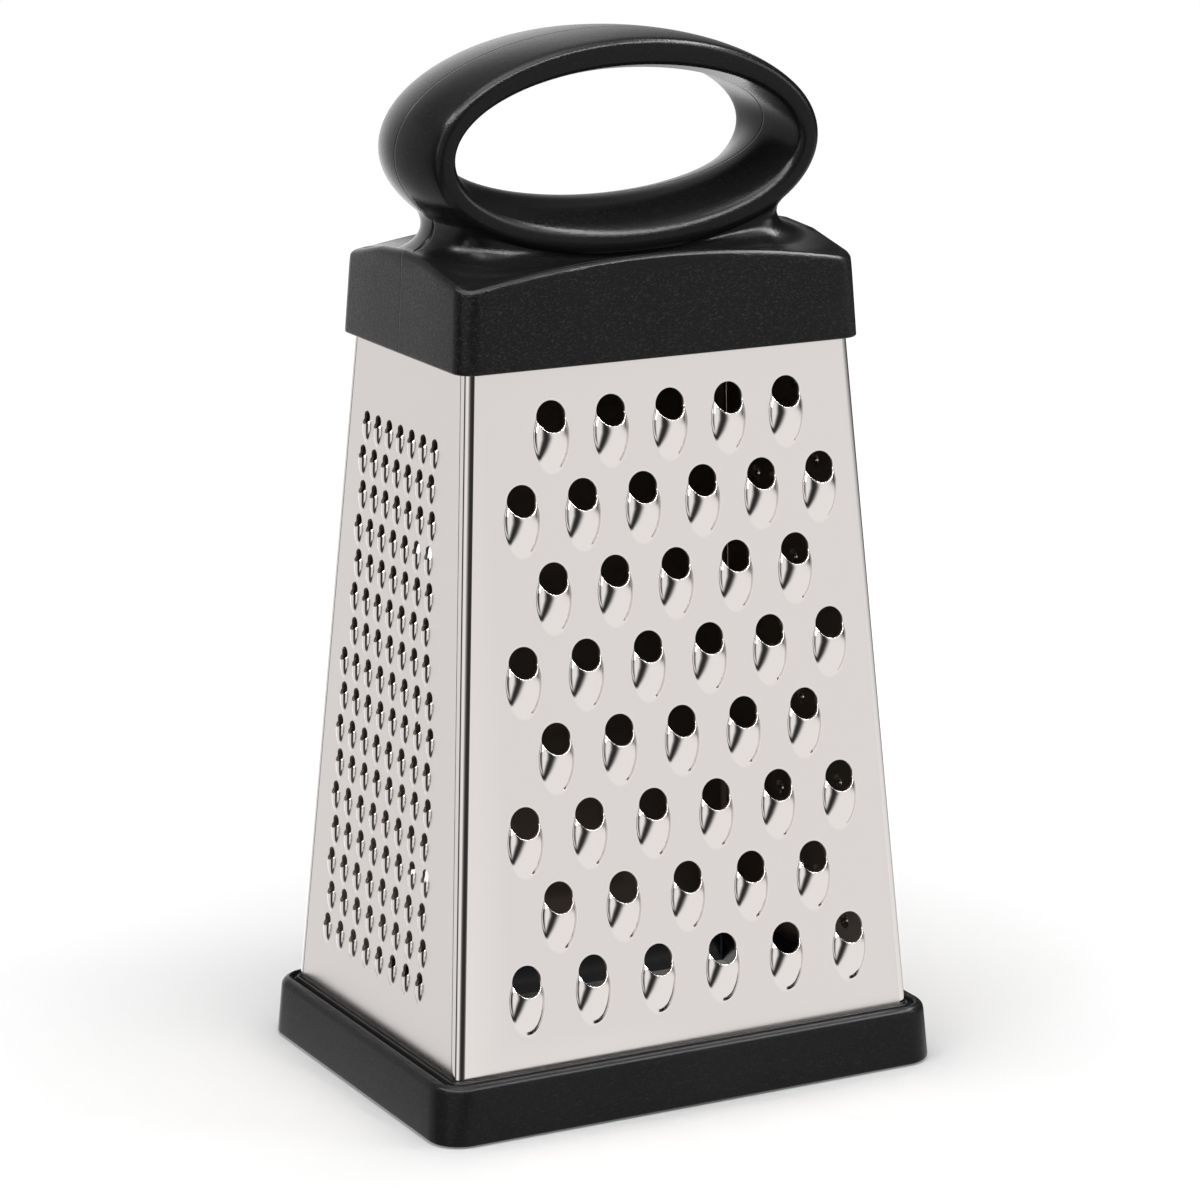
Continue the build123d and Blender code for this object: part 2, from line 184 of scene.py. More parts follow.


# %% [markdown]
# The sheets are satin stainless steel. Rolling leaves a very fine grain up the sheet, the
# brightness drifts softly from place to place, and the drawn scoops and punched rims are
# polished smooth by the tool. Two materials would meet at a hard line, so one material covers
# both, and a point attribute for polish and highlight blends between them: it makes those parts
# glossier and also paints them a little lighter, a painted highlight. The sheet's inside is a much
# darker, duller copy of it: painted shade, so that the inside and the holes look dark.


# %% Steel finishes
def steel_finish(name, tint, satin, gloss, metal, shine):
    """Steel whose roughness is satin on the plain sheet and gloss where polished and painted lighter.
    """
    material, start, shader = new_material(name)
    place = start.node("ShaderNodeTexCoord", out="Object")
    along = place.node("ShaderNodeMapping", None, {"Vector": place, "Scale": (2600.0, 2600.0, 60.0)})
    grain = along.node("ShaderNodeTexNoise", None, {"Vector": along, "Scale": 1.0, "Detail": 2.0})
    cloud = place.node("ShaderNodeTexNoise", None, {"Vector": place, "Scale": 26.0, "Detail": 3.0})
    polish = start.node("ShaderNodeAttribute", {"attribute_name": "polish"}, out="Fac")
    shade = (grain - 0.5) * 0.05 + (cloud - 0.5) * 0.10
    satin_colour = start.mix(shade + 0.5, scaled(tint, 0.90), scaled(tint, 1.10))
    # Where polished, the colour is also a little lighter: a painted highlight.
    feed(start.mix(polish, satin_colour, scaled(tint, 1.05)), shader, "Base Color")
    rough = satin + (cloud - 0.5) * 0.06 + (grain - 0.5) * 0.06
    feed(rough * (1 - polish) + polish * gloss, shader, "Roughness")
    relief = start.node("ShaderNodeBump", None,
                        {"Strength": 0.03, "Distance": 0.00001, "Height": grain})
    feed(relief, shader, "Normal")
    shader.inputs["Metallic"].default_value = metal
    shader.inputs["Specular IOR Level"].default_value = shine
    print(material.name, "has", len(material.node_tree.nodes), "nodes")
    return material


steel = steel_finish("satin_steel", (0.715, 0.676, 0.657), 0.25, 0.08, 1.0, 0.5)
# The inner steel is a much darker brown copy of the sheet: painted shade for the inside and the holes.
shaded_inner_steel = steel_finish("inner_steel_painted_shade", (0.095, 0.074, 0.058), 0.50, 0.45, 0.35, 0.15)

# %% [markdown]
# The handle is black plastic with a spark-eroded, leather-like texture on the cap's sides. The
# loop is smoother. The texture is a tenth of a millimetre deep, too fine to model, so it is bump:
# noise for the pebbles and cell borders for the creases between them. The pebbles' tips are also
# painted lighter, a painted sheen where they would catch the light. A point attribute called
# grain says how much texture there is.


# %% Plastic finishes
def plastic_finish(name, tint, satin, relief_depth, shine):
    """Black plastic, with its roughness and the depth of its texture in metres."""
    material, start, shader = new_material(name)
    place = start.node("ShaderNodeTexCoord", out="Object")
    turned = place.node("ShaderNodeMapping", None,
                        {"Vector": place, "Rotation": (0.5, 0.6, 0.7), "Scale": (1.0, 1.0, 1.6)})
    pebble = turned.node("ShaderNodeTexNoise", None,
                         {"Vector": turned, "Scale": 1400.0, "Detail": 3.0, "Roughness": 0.6,
                          "Distortion": 0.8})
    crease = turned.node("ShaderNodeTexVoronoi", {"feature": "DISTANCE_TO_EDGE"},
                         {"Vector": turned, "Scale": 1150.0})
    cloud = place.node("ShaderNodeTexNoise", None, {"Vector": place, "Scale": 40.0, "Detail": 4.0})
    grain = start.node("ShaderNodeAttribute", {"attribute_name": "grain"}, out="Fac")
    # The pebbles' tips are painted lighter: a painted sheen, as if their tops caught the light.
    sheen_tips = pebble.ramp((0.52, 0.0), (0.68, 1.0)) * grain
    plain = start.mix(cloud, scaled(tint, 0.8), scaled(tint, 1.25))
    feed(start.mix(sheen_tips, plain, scaled(tint, 3.2)), shader, "Base Color")
    feed(satin + (cloud - 0.5) * 0.06 + grain * 0.10 * pebble, shader, "Roughness")
    height = (pebble + crease.ramp((0.0, 0.0), (0.35, 1.0)) * 0.5) * (0.12 + grain)
    relief = start.node("ShaderNodeBump", None,
                        {"Strength": 0.5, "Distance": relief_depth, "Height": height})
    feed(relief, shader, "Normal")
    shader.inputs["Specular IOR Level"].default_value = shine
    print(material.name, "has", len(material.node_tree.nodes), "nodes")
    return material


handle_plastic = plastic_finish("handle_plastic", (0.0075, 0.0075, 0.0077), 0.18, 0.00012, 0.11)
base_plastic = plastic_finish("base_plastic", (0.0115, 0.0115, 0.0118), 0.22, 0.00004, 0.07)
insert_plastic = plastic_finish("insert_plastic", (0.02, 0.02, 0.02), 0.5, 0.00003, 0.3)

# %% [markdown]
# The forms of a grater follow rules, so its meshes are worked out as lists of points in
# millimetres and not modelled by hand. These helpers turn such lists into objects, weld what
# belongs together and let the faces point outwards.


# %% Mesh helpers
def mesh_object(name, points, faces, material=None, edges=()):
    """An object from points and faces, or from points and edges."""
    mesh = bpy.data.meshes.new(name)
    mesh.from_pydata([tuple(p) for p in points], edges, faces)
    if material:
        mesh.materials.append(material)
    made = bpy.data.objects.new(name, mesh)
    bpy.context.collection.objects.link(made)
    return made


def closed_line(name, points):
    """An object that is only a closed line through points."""
    count = len(points)
    return mesh_object(name, points, [], edges=[(i, (i + 1) % count) for i in range(count)])


def set_attribute(mesh, name, values):
    """A number at each point, which a material can read."""
    layer = mesh.attributes.new(name, "FLOAT", "POINT")
    layer.data.foreach_set("value", np.asarray(values, dtype=np.float32))


def weld(mesh, gap):
    """Merge doubled points and point the faces outwards."""
    work = bmesh.new()
    work.from_mesh(mesh)
    bmesh.ops.remove_doubles(work, verts=work.verts, dist=gap)
    bmesh.ops.recalc_face_normals(work, faces=work.faces)
    work.to_mesh(mesh)
    work.free()


def make_plain(made):
    """Put an object's evaluated shape into a plain mesh and drop its modifiers."""
    bpy.context.view_layer.update()
    graph = bpy.context.evaluated_depsgraph_get()
    plain = bpy.data.meshes.new_from_object(made.evaluated_get(graph), preserve_all_data_layers=True,
                                            depsgraph=graph)
    made.modifiers.clear()
    made.data = plain


# %% [markdown]
# A tooth is punched: a round hole, and below it a scoop whose edge is the cutting lip. A Boolean
# could cut it, but it leaves long thin triangles, which show in a reflection. So the tooth is a
# collar of quads between the hole's edge and a line just outside the tooth, where it is flat
# again and joins the sheet.


# %% A collar of quads
def collar_mesh(name, lines):
    """Collar round a hole and its outer line; each line runs outwards as (x, y, z, polish and
    highlight).
    """
    count, width = len(lines), len(lines[0])
    points = [spot[:3] for line in lines for spot in line]
    faces = []
    for i in range(count):
        j = (i + 1) % count
        for k in range(width - 1):
            faces.append((i * width + k, i * width + k + 1, j * width + k + 1, j * width + k))
    collar = mesh_object(name, points, faces)
    set_attribute(collar.data, "polish", [spot[3] for line in lines for spot in line])
    print(name, "has", len(faces), "faces")
    return collar, closed_line(name + "_line", [line[-1][:3] for line in lines])


# %% [markdown]
# The scoop is the upper part of half an ellipsoid that is sunk into the sheet, with a soft fillet
# where it rises. The punch also rolls the hole's edge inwards a little, which catches the light.
# The lines of the collar start all round the hole. Those above it end on a round line,
# and the others end on the scoop's outline.


# %% The shape of a tooth
halvings = 40
sink_share = 0.22


def tooth_collar(name, hole, drop, ear, scoop, margin, fillet, rolls, counts, steps):
    """Collar of one tooth, with the hole's centre at the origin.

    The scoop's half width, height and length are measured from drop under the hole, and ear is
    how far it reaches up from there. rolls are the radii of the hole's edge at its top and lip.
    """
    top_steps, ear_steps, low_steps, roll_steps = counts
    half_width, height, length = scoop
    roll_top, roll_lip = rolls
    sink = sink_share * height
    swell = 1 / math.sqrt(1 - (sink / (height + sink)) ** 2)

    def outline(angle, extra):
        down = length + 2 * extra if math.sin(angle) < 0 else ear + extra
        return np.array([(half_width + extra) * math.cos(angle), -drop + down * math.sin(angle)])

    low, high = 0.0, math.pi / 2
    for _ in range(halvings):
        meet = (low + high) / 2
        if np.linalg.norm(outline(meet, margin)) > hole + margin:
            low = meet
        else:
            high = meet
    corner = outline(meet, margin)
    start = math.atan2(corner[1], corner[0])
    spans = []
    for i in range(top_steps):
        angle = (math.pi - 2 * start) * i / top_steps + start
        share = min(1, 4 * min(i, top_steps - i) / top_steps)
        way = np.array([math.cos(angle), math.sin(angle)])
        roll = roll_lip + (roll_top - roll_lip) * share
        spans.append([hole * way, (hole + margin / 2) * way, (hole + margin) * way, roll])
    rounds = [math.pi - meet + meet * i / ear_steps for i in range(ear_steps)]
    rounds += [math.pi + math.pi * i / low_steps for i in range(low_steps)]
    rounds += [2 * math.pi + meet * i / ear_steps for i in range(ear_steps)]
    for i, angle in enumerate(rounds):
        inner = math.pi - start + (math.pi + 2 * start) * i / len(rounds)
        edge = hole * np.array([math.cos(inner), math.sin(inner)])
        spans.append([edge, outline(angle, 0.0), outline(angle, margin), roll_lip])

    def surface(x, y):
        down = y + drop
        along = down / (length if down < 0 else ear) / swell
        across = x / half_width / swell
        rise = (height + sink) * math.sqrt(max(1 - along**2 - across**2, 0)) - sink
        soft = fillet * (1 + 0.4 * min(max(-down / length, 0), 1))
        return (rise + soft) ** 2 / (4 * soft) if abs(rise) < soft else max(rise, 0)

    # The last number of each point is its polish, which also paints it a little lighter: a painted
    # highlight on the rim and the scoop.
    lines = []
    for edge, rim, outer, roll in spans:
        line = []
        for i in range(roll_steps):
            bend = math.pi / 2 * (1 - i / roll_steps)
            x, y = edge * (1 - roll * math.sin(bend) / hole)
            line.append((x, y, surface(*edge) - roll * (1 - math.cos(bend)), 1))
        for share in steps:
            x, y = edge + (rim - edge) * share
            height_here = surface(x, y)
            line.append((x, y, height_here, 1 if share == 0 else min(1, 4 * height_here / height)))
        for share in (0, 1 / 3, 2 / 3):
            x, y = rim + (outer - rim) * share
            line.append((x, y, surface(x, y), 1 - share))
        line.append((*outer, 0, 0))
        lines.append(line)
    return collar_mesh(name, lines)


coarse_tooth = tooth_collar(
    "coarse_tooth", hole=3.45, drop=4.4, ear=6.2, scoop=(4.1, 1.8, 7.4), margin=0.4, fillet=0.26,
    rolls=(0.1, 0.04), counts=(26, 6, 26, 3),
    steps=(0, 0.08, 0.18, 0.3, 0.43, 0.56, 0.69, 0.81, 0.91))
fine_tooth = tooth_collar(
    "fine_tooth", hole=1.5, drop=1.9, ear=2.5, scoop=(1.65, 0.8, 3.6), margin=0.2, fillet=0.1,
    rolls=(0.05, 0.03), counts=(7, 2, 10, 1), steps=(0, 0.3, 0.6, 0.85))

# %% [markdown]
# The teeth stand in rows, so Geometry Nodes place them. Points are counted out row by row, the
# tooth is instanced on each, and the sheet is filled between the border and the teeth's
# outlines. The tree ends in Realize Instances and Set Material, and the result is then kept as a
# plain mesh. An Array modifier could repeat a tooth too, but its rows couldn't grow wider.


# %% A tree that fills a sheet with teeth
def tooth_tree():
    """The tree, with its pitches and counts as named inputs."""
    tree = bpy.data.node_groups.new("rows_of_teeth", "GeometryNodeTree")
    wanted = {
        "Object": ("Tooth", "Tooth line", "Border"),
        "Int": ("Rows", "Teeth per row", "Teeth in longest row", "More on odd rows",
                "Rows before one more"),
        "Float": ("First row", "Row pitch", "Tooth pitch", "Pitch growth", "Shift", "Stagger"),
        "Material": ("Finish",)}
    for kind, names in wanted.items():
        for name in names:
            tree.interface.new_socket(name=name, in_out="INPUT", socket_type="NodeSocket" + kind)
    tree.interface.new_socket(name="Sheet", in_out="OUTPUT", socket_type="NodeSocketGeometry")
    start = Plug(tree)
    group = tree.nodes.new("NodeGroupInput")
    given = {socket.name: Plug(tree, socket) for socket in group.outputs if socket.name}
    most = given["Teeth in longest row"]
    index = start.node("GeometryNodeInputIndex")
    row = start.math("FLOOR", index / most)
    column = index - row * most
    odd = row - start.math("FLOOR", row / 2) * 2
    late = row > given["Rows before one more"] - 0.5
    count = given["Teeth per row"] + odd * given["More on odd rows"] + late
    pitch = given["Tooth pitch"] + row * given["Pitch growth"]
    across = given["Shift"] + given["Stagger"] * (1 - 2 * odd) + pitch * (column - (count - 1) / 2)
    up = given["First row"] - row * given["Row pitch"]
    spot = start.node("ShaderNodeCombineXYZ", None, {0: across, 1: up})
    points = start.node("GeometryNodePoints", None, {"Count": given["Rows"] * most, "Position": spot})
    kept = start.node("GeometryNodeDeleteGeometry", {"domain": "POINT"},
                      {"Geometry": points, "Selection": column > count - 0.5})
    shapes = {name: start.node("GeometryNodeObjectInfo", None, {"Object": given[name]}, "Geometry")
              for name in ("Tooth", "Tooth line", "Border")}
    lines = {name: start.node("GeometryNodeMeshToCurve", None, {"Mesh": shapes[name]})
             for name in ("Tooth line", "Border")}

    def repeated(shape):
        spread = start.node("GeometryNodeInstanceOnPoints", None, {"Points": kept, "Instance": shape})
        return start.node("GeometryNodeRealizeInstances", None, {"Geometry": spread})

    def together(*parts):
        joined = start.node("GeometryNodeJoinGeometry")
        for part in parts:
            tree.links.new(part.socket, joined.socket.node.inputs[0])
        return joined

    outlines = together(repeated(lines["Tooth line"]), lines["Border"])
    filled = start.node("GeometryNodeFillCurve", None, {"Curve": outlines})
    whole = together(repeated(shapes["Tooth"]), filled)
    welded = start.node("GeometryNodeMergeByDistance", None, {"Geometry": whole, "Distance": 0.004})
    real = start.node("GeometryNodeRealizeInstances", None, {"Geometry": welded})
    finished = start.node("GeometryNodeSetMaterial", None,
                          {"Geometry": real, "Material": given["Finish"]})
    out = tree.nodes.new("NodeGroupOutput")
    tree.links.new(finished.socket, out.inputs[0])
    print(tree.name, "has", len(tree.nodes), "nodes")
    return tree


teeth_rows = tooth_tree()


def toothed_skin(name, border, inputs):
    """The outer skin of a toothed sheet, flat in its own plane."""
    border_line = closed_line(name + "_border", border)
    made = mesh_object(name, [(0, 0, 0)], [])
    modifier = made.modifiers.new("rows", "NODES")
    modifier.node_group = teeth_rows
    inputs = dict(inputs, Border=border_line, Finish=steel)
    for item in teeth_rows.interface.items_tree:
        if item.in_out == "INPUT":
            modifier[item.identifier] = inputs[item.name]
    make_plain(made)
    bpy.data.objects.remove(border_line)
    return made


# %% [markdown]
# Each sheet lies in its own tilted plane. A matrix turns the flat skin, which is in millimetres,
# into its place on the body in metres. The slope says how much longer a line up the tilted
# face is than its rise.


# %% Where each face of the body lies
def face_matrix(side_x, side_y):
    """Plane of a face: X across it, Y up it, Z outwards, in metres; and the face's slope."""
    rise = steel_high - steel_low
    taper = (length_low - length_high if side_x else depth_low - depth_high) / 2 / rise
    tilt = math.atan(taper)
    outward = Vector((side_x * math.cos(tilt), side_y * math.cos(tilt), math.sin(tilt)))
    across = Vector((-side_y, side_x, 0))
    upward = outward.cross(across)
    origin = Vector((side_x * half_length(middle), side_y * half_depth(middle), middle)) * MM
    turn = Matrix((across, upward, outward)).transposed() * MM
    return Matrix.Translation(origin) @ turn.to_4x4(), 1 / math.cos(tilt)


def sheet_border(low, high, slope):
    """Corners of a flat sheet whose half widths are given at its foot and top."""
    foot, top = (steel_foot - middle) * slope, (steel_top - middle) * slope
    return [(-low, foot, 0), (low, foot, 0), (high, top, 0), (-high, top, 0)]


# %% [markdown]
# The two wide sheets are folded round the corners, and the narrow ones butt against the folds. A
# real bend is no exact arc: it turns in a few stretches, some nearly flat, and so a white and a
# black band stand side by side in its reflection. A Bevel would give an even arc, so the
# fold is laid out stretch by stretch.

# %% The corner folds
fold_return = 0.4
bend_steps = 3
# Each stretch: the degrees turned by its end, and the length of each of its steps
fold_bends = ((10, 0.04), (20, 1.6), (44, 0.9), (70, 0.36), (90, 0.95))


def fold_path():
    """Points round a corner fold as shares of its radius: along one sheet, then down the other."""
    spots = [(0.0, 0.0)]
    angle = 0
    for reached, run in fold_bends:
        for i in range(bend_steps):
            turn = math.radians(angle + (reached - angle) * (i + 0.5) / bend_steps)
            x, y = spots[-1]
            spots.append((x + run * math.cos(turn), y + run * math.sin(turn)))
        angle = reached
    return [(x / spots[-1][0], y / spots[-1][1]) for x, y in spots]


def fold_strip(side_x, side_y):
    """Skin of a corner fold and its short return, in millimetres on the body."""
    path = fold_path()
    levels = (steel_foot, steel_foot + fold_return, steel_top - fold_return, steel_top)
    points = []
    for z in levels:
        long, deep = half_length(z) - fold_radius, half_depth(z) - fold_radius
        points += [(side_x * (long + fold_radius * x), side_y * (deep + fold_radius * (1 - y)), z)
                   for x, y in path]
        points.append((side_x * half_length(z), side_y * (deep - fold_return), z))
    width = len(path) + 1
    faces = [(k + i, k + i + 1, k + width + i + 1, k + width + i)
             for k in range(0, width * (len(levels) - 1), width) for i in range(width - 1)]
    if side_x * side_y > 0:
        faces = [f[::-1] for f in faces]
    # The fold is polished, which also paints it a little lighter: a painted highlight.
    polish = [0.0] + [1.0] * (width - 3) + [0.0, 0.0]
    return points, faces, polish * len(levels)


def add_skin(made, points, faces, polish):
    """Join more skin to an object, points in millimetres, with how polished and painted lighter each
    point is.
    """
    work = bmesh.new()
    work.from_mesh(made.data)
    layer = work.verts.layers.float["polish"]
    added = [work.verts.new(Vector(p) * MM) for p in points]
    for vert, value in zip(added, polish):
        vert[layer] = value
    for face in faces:
        work.faces.new([added[i] for i in face])
    work.to_mesh(made.data)
    work.free()


# %% [markdown]
# So far a face is a skin without thickness. Solidify could thicken it, but it thins out where the
# small teeth curve tightly. So every point gets a twin further in: straight in on the flat
# sheet and its teeth, as a punch presses them, and along the point's own normal round a fold. The
# twins make the inner skin, and quads between the two skins make the cut edges.

# %% Thickness of the sheet
weld_gap = 0.01
# How deep under its face's plane a point is on a fold, and how much deeper until it is fully so
fold_starts, fold_turns = 0.12, 0.3
# Cut edges shorter than this, round the teeth's holes, get the dark inner steel: painted shade.
# Bright ones speckle the fine face.
short_cut = 1.0
sharp_angle = 38


def give_thickness(made, flat_matrix):
    """Weld the skin, shade the curved parts smooth, and add the inner skin and the cut edges."""
    made.data.materials.clear()
    for finish in (steel, shaded_inner_steel):
        made.data.materials.append(finish)
    work = bmesh.new()
    work.from_mesh(made.data)
    bmesh.ops.remove_doubles(work, verts=work.verts, dist=weld_gap * MM)
    outward = flat_matrix.to_3x3() @ Vector((0, 0, 1))
    outward.normalize()
    origin = flat_matrix.translation
    work.normal_update()
    for face in work.faces:
        level = abs((face.calc_center_median() - origin).dot(outward)) < 1e-6
        face.smooth = not (level and face.normal.dot(outward) > 0.99999)
        face.material_index = 0
    layer = work.verts.layers.float["polish"]
    skin = list(work.faces)
    twins = {}
    for vert in list(work.verts):
        depth = (origin - vert.co).dot(outward) / MM
        turn = min(max((depth - fold_starts) / fold_turns, 0), 1)
        way = outward.lerp(vert.normal, turn).normalized()
        twins[vert] = work.verts.new(vert.co - way * sheet * MM)
        twins[vert][layer] = vert[layer]
    cuts = []
    for edge in work.edges:
        if edge.is_boundary:
            loop = edge.link_loops[0]
            start, end = loop.vert, loop.link_loop_next.vert
            cuts.append(((end, start, twins[start], twins[end]), edge.calc_length() < short_cut * MM))
    # The inner skin gets the dark inner steel: painted shade.
    for face in skin:
        corners = [twins[vert] for vert in face.verts]
        inner = work.faces.new(corners[::-1])
        inner.smooth = face.smooth
        inner.material_index = 1
    for corners, painted_dark in cuts:
        cut = work.faces.new(corners)
        cut.smooth = True
        cut.material_index = int(painted_dark)
    work.to_mesh(made.data)
    work.free()
    made.data.set_sharp_from_angle(angle=math.radians(sharp_angle))
    print(made.name, "has", len(made.data.polygons), "faces")


# %% [markdown]
# All four faces are made in the same steps: the flat skin with its teeth, its place on the body,
# the folds of a wide sheet, and the thickness. Heights in a table of rows are real heights
# above the floor, and the slope stretches them up the tilted face.

# %% One face of the body
seam_gap = 0.25
plain_rows = {"More on odd rows": 0, "Rows before one more": 99, "Pitch growth": 0.0, "Shift": 0.0,
              "Stagger": 0.0}


def body_face(name, side_x, side_y, tooth, rows):
    """The sheet that looks along a side, with rows of one tooth; the tooth's own shape is used up."""
    matrix, slope = face_matrix(side_x, side_y)
    shape, line = tooth
    half_width = half_length if side_y else half_depth
    inset = fold_radius if side_y else fold_radius + fold_return + seam_gap
    border = sheet_border(half_width(steel_foot) - inset, half_width(steel_top) - inset, slope)
    made = toothed_skin(name, border, {
        **plain_rows, **rows, "Tooth": shape, "Tooth line": line,
        "First row": (rows["First row"] - middle) * slope, "Row pitch": rows["Row pitch"] * slope})
    made.data.transform(matrix)
    if side_y:
        for corner in (-1, 1):
            add_skin(made, *fold_strip(corner, side_y))
    give_thickness(made, matrix)
    for helper in tooth:
        bpy.data.objects.remove(helper)
    return made


# %% [markdown]
# The coarse face has eight rows of large teeth, five and six by turns. They stand a little
# further apart from row to row towards the foot, as the body grows wider.

# %% Coarse face
coarse_face = body_face("coarse_face", 0, -1, coarse_tooth, {
    "Rows": 8, "Teeth per row": 5, "Teeth in longest row": 6, "More on odd rows": 1,
    "First row": 151.7, "Row pitch": 17.04, "Tooth pitch": 14.15, "Pitch growth": 0.25, "Shift": 1.5})
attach(coarse_face, "root")
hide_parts("coarse_panel")

# %% [markdown]
# The fine face has sixteen rows: seven with seven teeth, and from the eighth on, where there is
# room for it, one tooth more. The rows are shifted a little to one side and the other by turns.

# %% Fine face
fine_face = body_face("fine_face", -1, 0, fine_tooth, {
    "Rows": 16, "Teeth per row": 7, "Teeth in longest row": 8, "Rows before one more": 7,
    "First row": 144.75, "Row pitch": 7.65, "Tooth pitch": 5.55, "Pitch growth": 0.078, "Shift": -2.3,
    "Stagger": 0.5})
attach(fine_face, "root")
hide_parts("fine_panel")

# %% [markdown]
# The slicing face has a few wide slots. Under each, the sheet swells into an arched ramp whose
# upper edge is the blade. One slot is a collar too, and the same tree repeats it.

# %% The shape of a slicing slot
long_places, end_places = 33, 7
ramp_places = (0, 0.03, 0.08, 0.18, 0.3, 0.45, 0.6, 0.75, 0.88)
end_bulge = 0.4


def slot_collar(name, half_long, high, lip, ramp, margin):
    """Collar of one slot, with the blade's middle at the origin."""
    end = high / 2
    wide, foot, head = half_long + margin, -ramp - margin, high + margin
    tall = ramp + high + 2 * margin
    across = half_long * np.linspace(-1, 1, long_places)
    ends = [(half_long + end * math.sin(a) * end_bulge, end * math.cos(a), (i + 1) / (end_places - 1))
            for i, a in enumerate(np.linspace(0, math.pi, end_places)[1:-1])]
    spans = [(x, 0.0, x * wide / half_long, foot) for x in across]
    spans += [(x, end - rise, wide, foot + tall * share) for x, rise, share in ends]
    spans += [(-x, high, -x * wide / half_long, head) for x in across]
    spans += [(-x, end + rise, -wide, head - tall * share) for x, rise, share in ends]
    lines = []
    for x, y, out_x, out_y in spans:
        line = []
        for k, s in enumerate(ramp_places):
            px, py = x + (out_x - x) * s, y + (out_y - y) * s
            arch = max(0.0, 1 - (abs(px) / (half_long + 0.4 * margin)) ** 5)
            slope = min(max(-py / (0.97 * ramp), 0), 1)
            z = lip * arch * (1 - slope) ** 2 * (1 + 2 * slope) if py <= 0.01 else 0.0
            line.append((px, py, z, 1 if k < 2 else min(1, 2 * z / lip)))
        line.append((x + (out_x - x), y + (out_y - y), 0, 0))
        lines.append(line)
    return collar_mesh(name, lines)


slot = slot_collar("slot", half_long=28.6, high=4.2, lip=2.1, ramp=9.0, margin=1.0)

# %% [markdown]
# The slicing face isn't seen in the photograph. Four slots, one to a row, are what such a face
# usually has, and they fill the height between the ring and the cap.

# %% Slicing face
slicing_face = body_face("slicing_face", 0, 1, slot, {
    "Rows": 4, "Teeth per row": 1, "Teeth in longest row": 1, "First row": 146.8, "Row pitch": 38.9,
    "Tooth pitch": 1.0})
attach(slicing_face, "root")
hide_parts("slicing_panel")

# %% [markdown]
# The zesting face has small burrs: the punch tears the sheet outwards round a tiny bore and leaves
# a crown of sharp points. A burr is seen only as a glint, so it is made of few faces.


# %% The shape of a burr
def burr_collar(name, bore, foot, top, height, points):
    """Collar of one burr, with its bore's centre at the origin."""
    lines = []
    stations = 4 * points
    for i in range(stations):
        angle = 2 * math.pi * i / stations
        peak = 0.72 + 0.28 * math.cos(points * angle)
        rows = ((bore, height * peak, 1), (bore + 0.35 * (top - bore), height * peak, 1),
                (top, 0.86 * height * peak, 1), ((top + foot) / 2, 0.4 * height, 1), (foot, 0.07, 0.6),
                (foot + 0.15, 0, 0), (foot + 0.3, 0, 0))
        lines.append([(r * math.cos(angle), r * math.sin(angle), z, p) for r, z, p in rows])
    return collar_mesh(name, lines)


burr = burr_collar("burr", bore=0.7, foot=1.7, top=1.15, height=1.2, points=4)

# %% [markdown]
# The zesting face isn't seen either. Its rows of four and five burrs alternate, so that every
# burr stands between two of the row above.

# %% Zesting face
zesting_face = body_face("zesting_face", 1, 0, burr, {
    "Rows": 16, "Teeth per row": 4, "Teeth in longest row": 5, "More on odd rows": 1,
    "First row": 148.0, "Row pitch": 8.2, "Tooth pitch": 7.6})
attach(zesting_face, "root")
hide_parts("zesting_panel")

# %% [markdown]
# The base and the cap are round rectangles that change with height. A Bevel on a box would round
# their edges too, but the cap's crown and the draft of its walls need rows of their own. So both
# are rings of stations: every ring has the same stations, and neighbouring rings join in quads.


# %% Rings round a rounded rectangle
def side_stations(straight, arc):
    """Stations of one side, from corner diagonal to corner diagonal: place along it and turn."""
    steps = [(-1.0, -45 + 45 * i / arc) for i in range(arc)]
    steps += [(t, 0.0) for t in straight]
    steps += [(1.0, 45 * (i + 1) / arc) for i in range(arc)]
    return steps


def ring_stations(long_side, short_side):
    """Stations all round from the front left: a place from -1 to 1 both ways, and a way outwards."""
    stations = []
    for base, side in ((-90, long_side), (0, short_side), (90, long_side), (180, short_side)):
        for t, turn in side[:-1]:
            angle = math.radians(base + turn)
            place = {-90: (t, -1), 0: (1, t), 90: (-t, 1), 180: (-1, -t)}[base]
            stations.append((place[0], place[1], math.cos(angle), math.sin(angle)))
    return np.array(stations)


def plan_ring(stations, half_x, half_y, radius):
    """Plan points of one ring."""
    x = stations[:, 0] * (half_x - radius) + stations[:, 2] * radius
    y = stations[:, 1] * (half_y - radius) + stations[:, 3] * radius
    return x, y


def ring_points(stations, half_x, half_y, radius, z):
    """Points of one ring, at one height or at a height for each station."""
    x, y = plan_ring(stations, half_x, half_y, radius)
    return list(zip(x, y, np.broadcast_to(z, x.shape)))


def ring_faces(rings, stations):
    """Quads between rings, each a run of stations; the last ring joins the first."""
    faces = []
    for k in range(rings):
        low, high = k * stations, (k + 1) % rings * stations
        for i in range(stations):
            j = (i + 1) % stations
            faces.append((low + i, low + j, high + j, high + i))
    return faces


# %% [markdown]
# The base ring is a moulded channel. Its outside is rounded at the foot and the top, its top
# falls in a small slope towards the steel, and the steel stands in a narrow groove. Its rows run
# once round this section, from the inner foot outwards, over the top and down inside.

# %% The base ring's section
base_half = (61.5, 45.6)
base_height = 13.0
base_corner = 7.5
base_draft = 0.95
foot_edge, top_edge = 0.8, 1.6
round_steps = 5
inner_wall = sheet + slide_gap
flange = 3.0
most_inset = -1.4
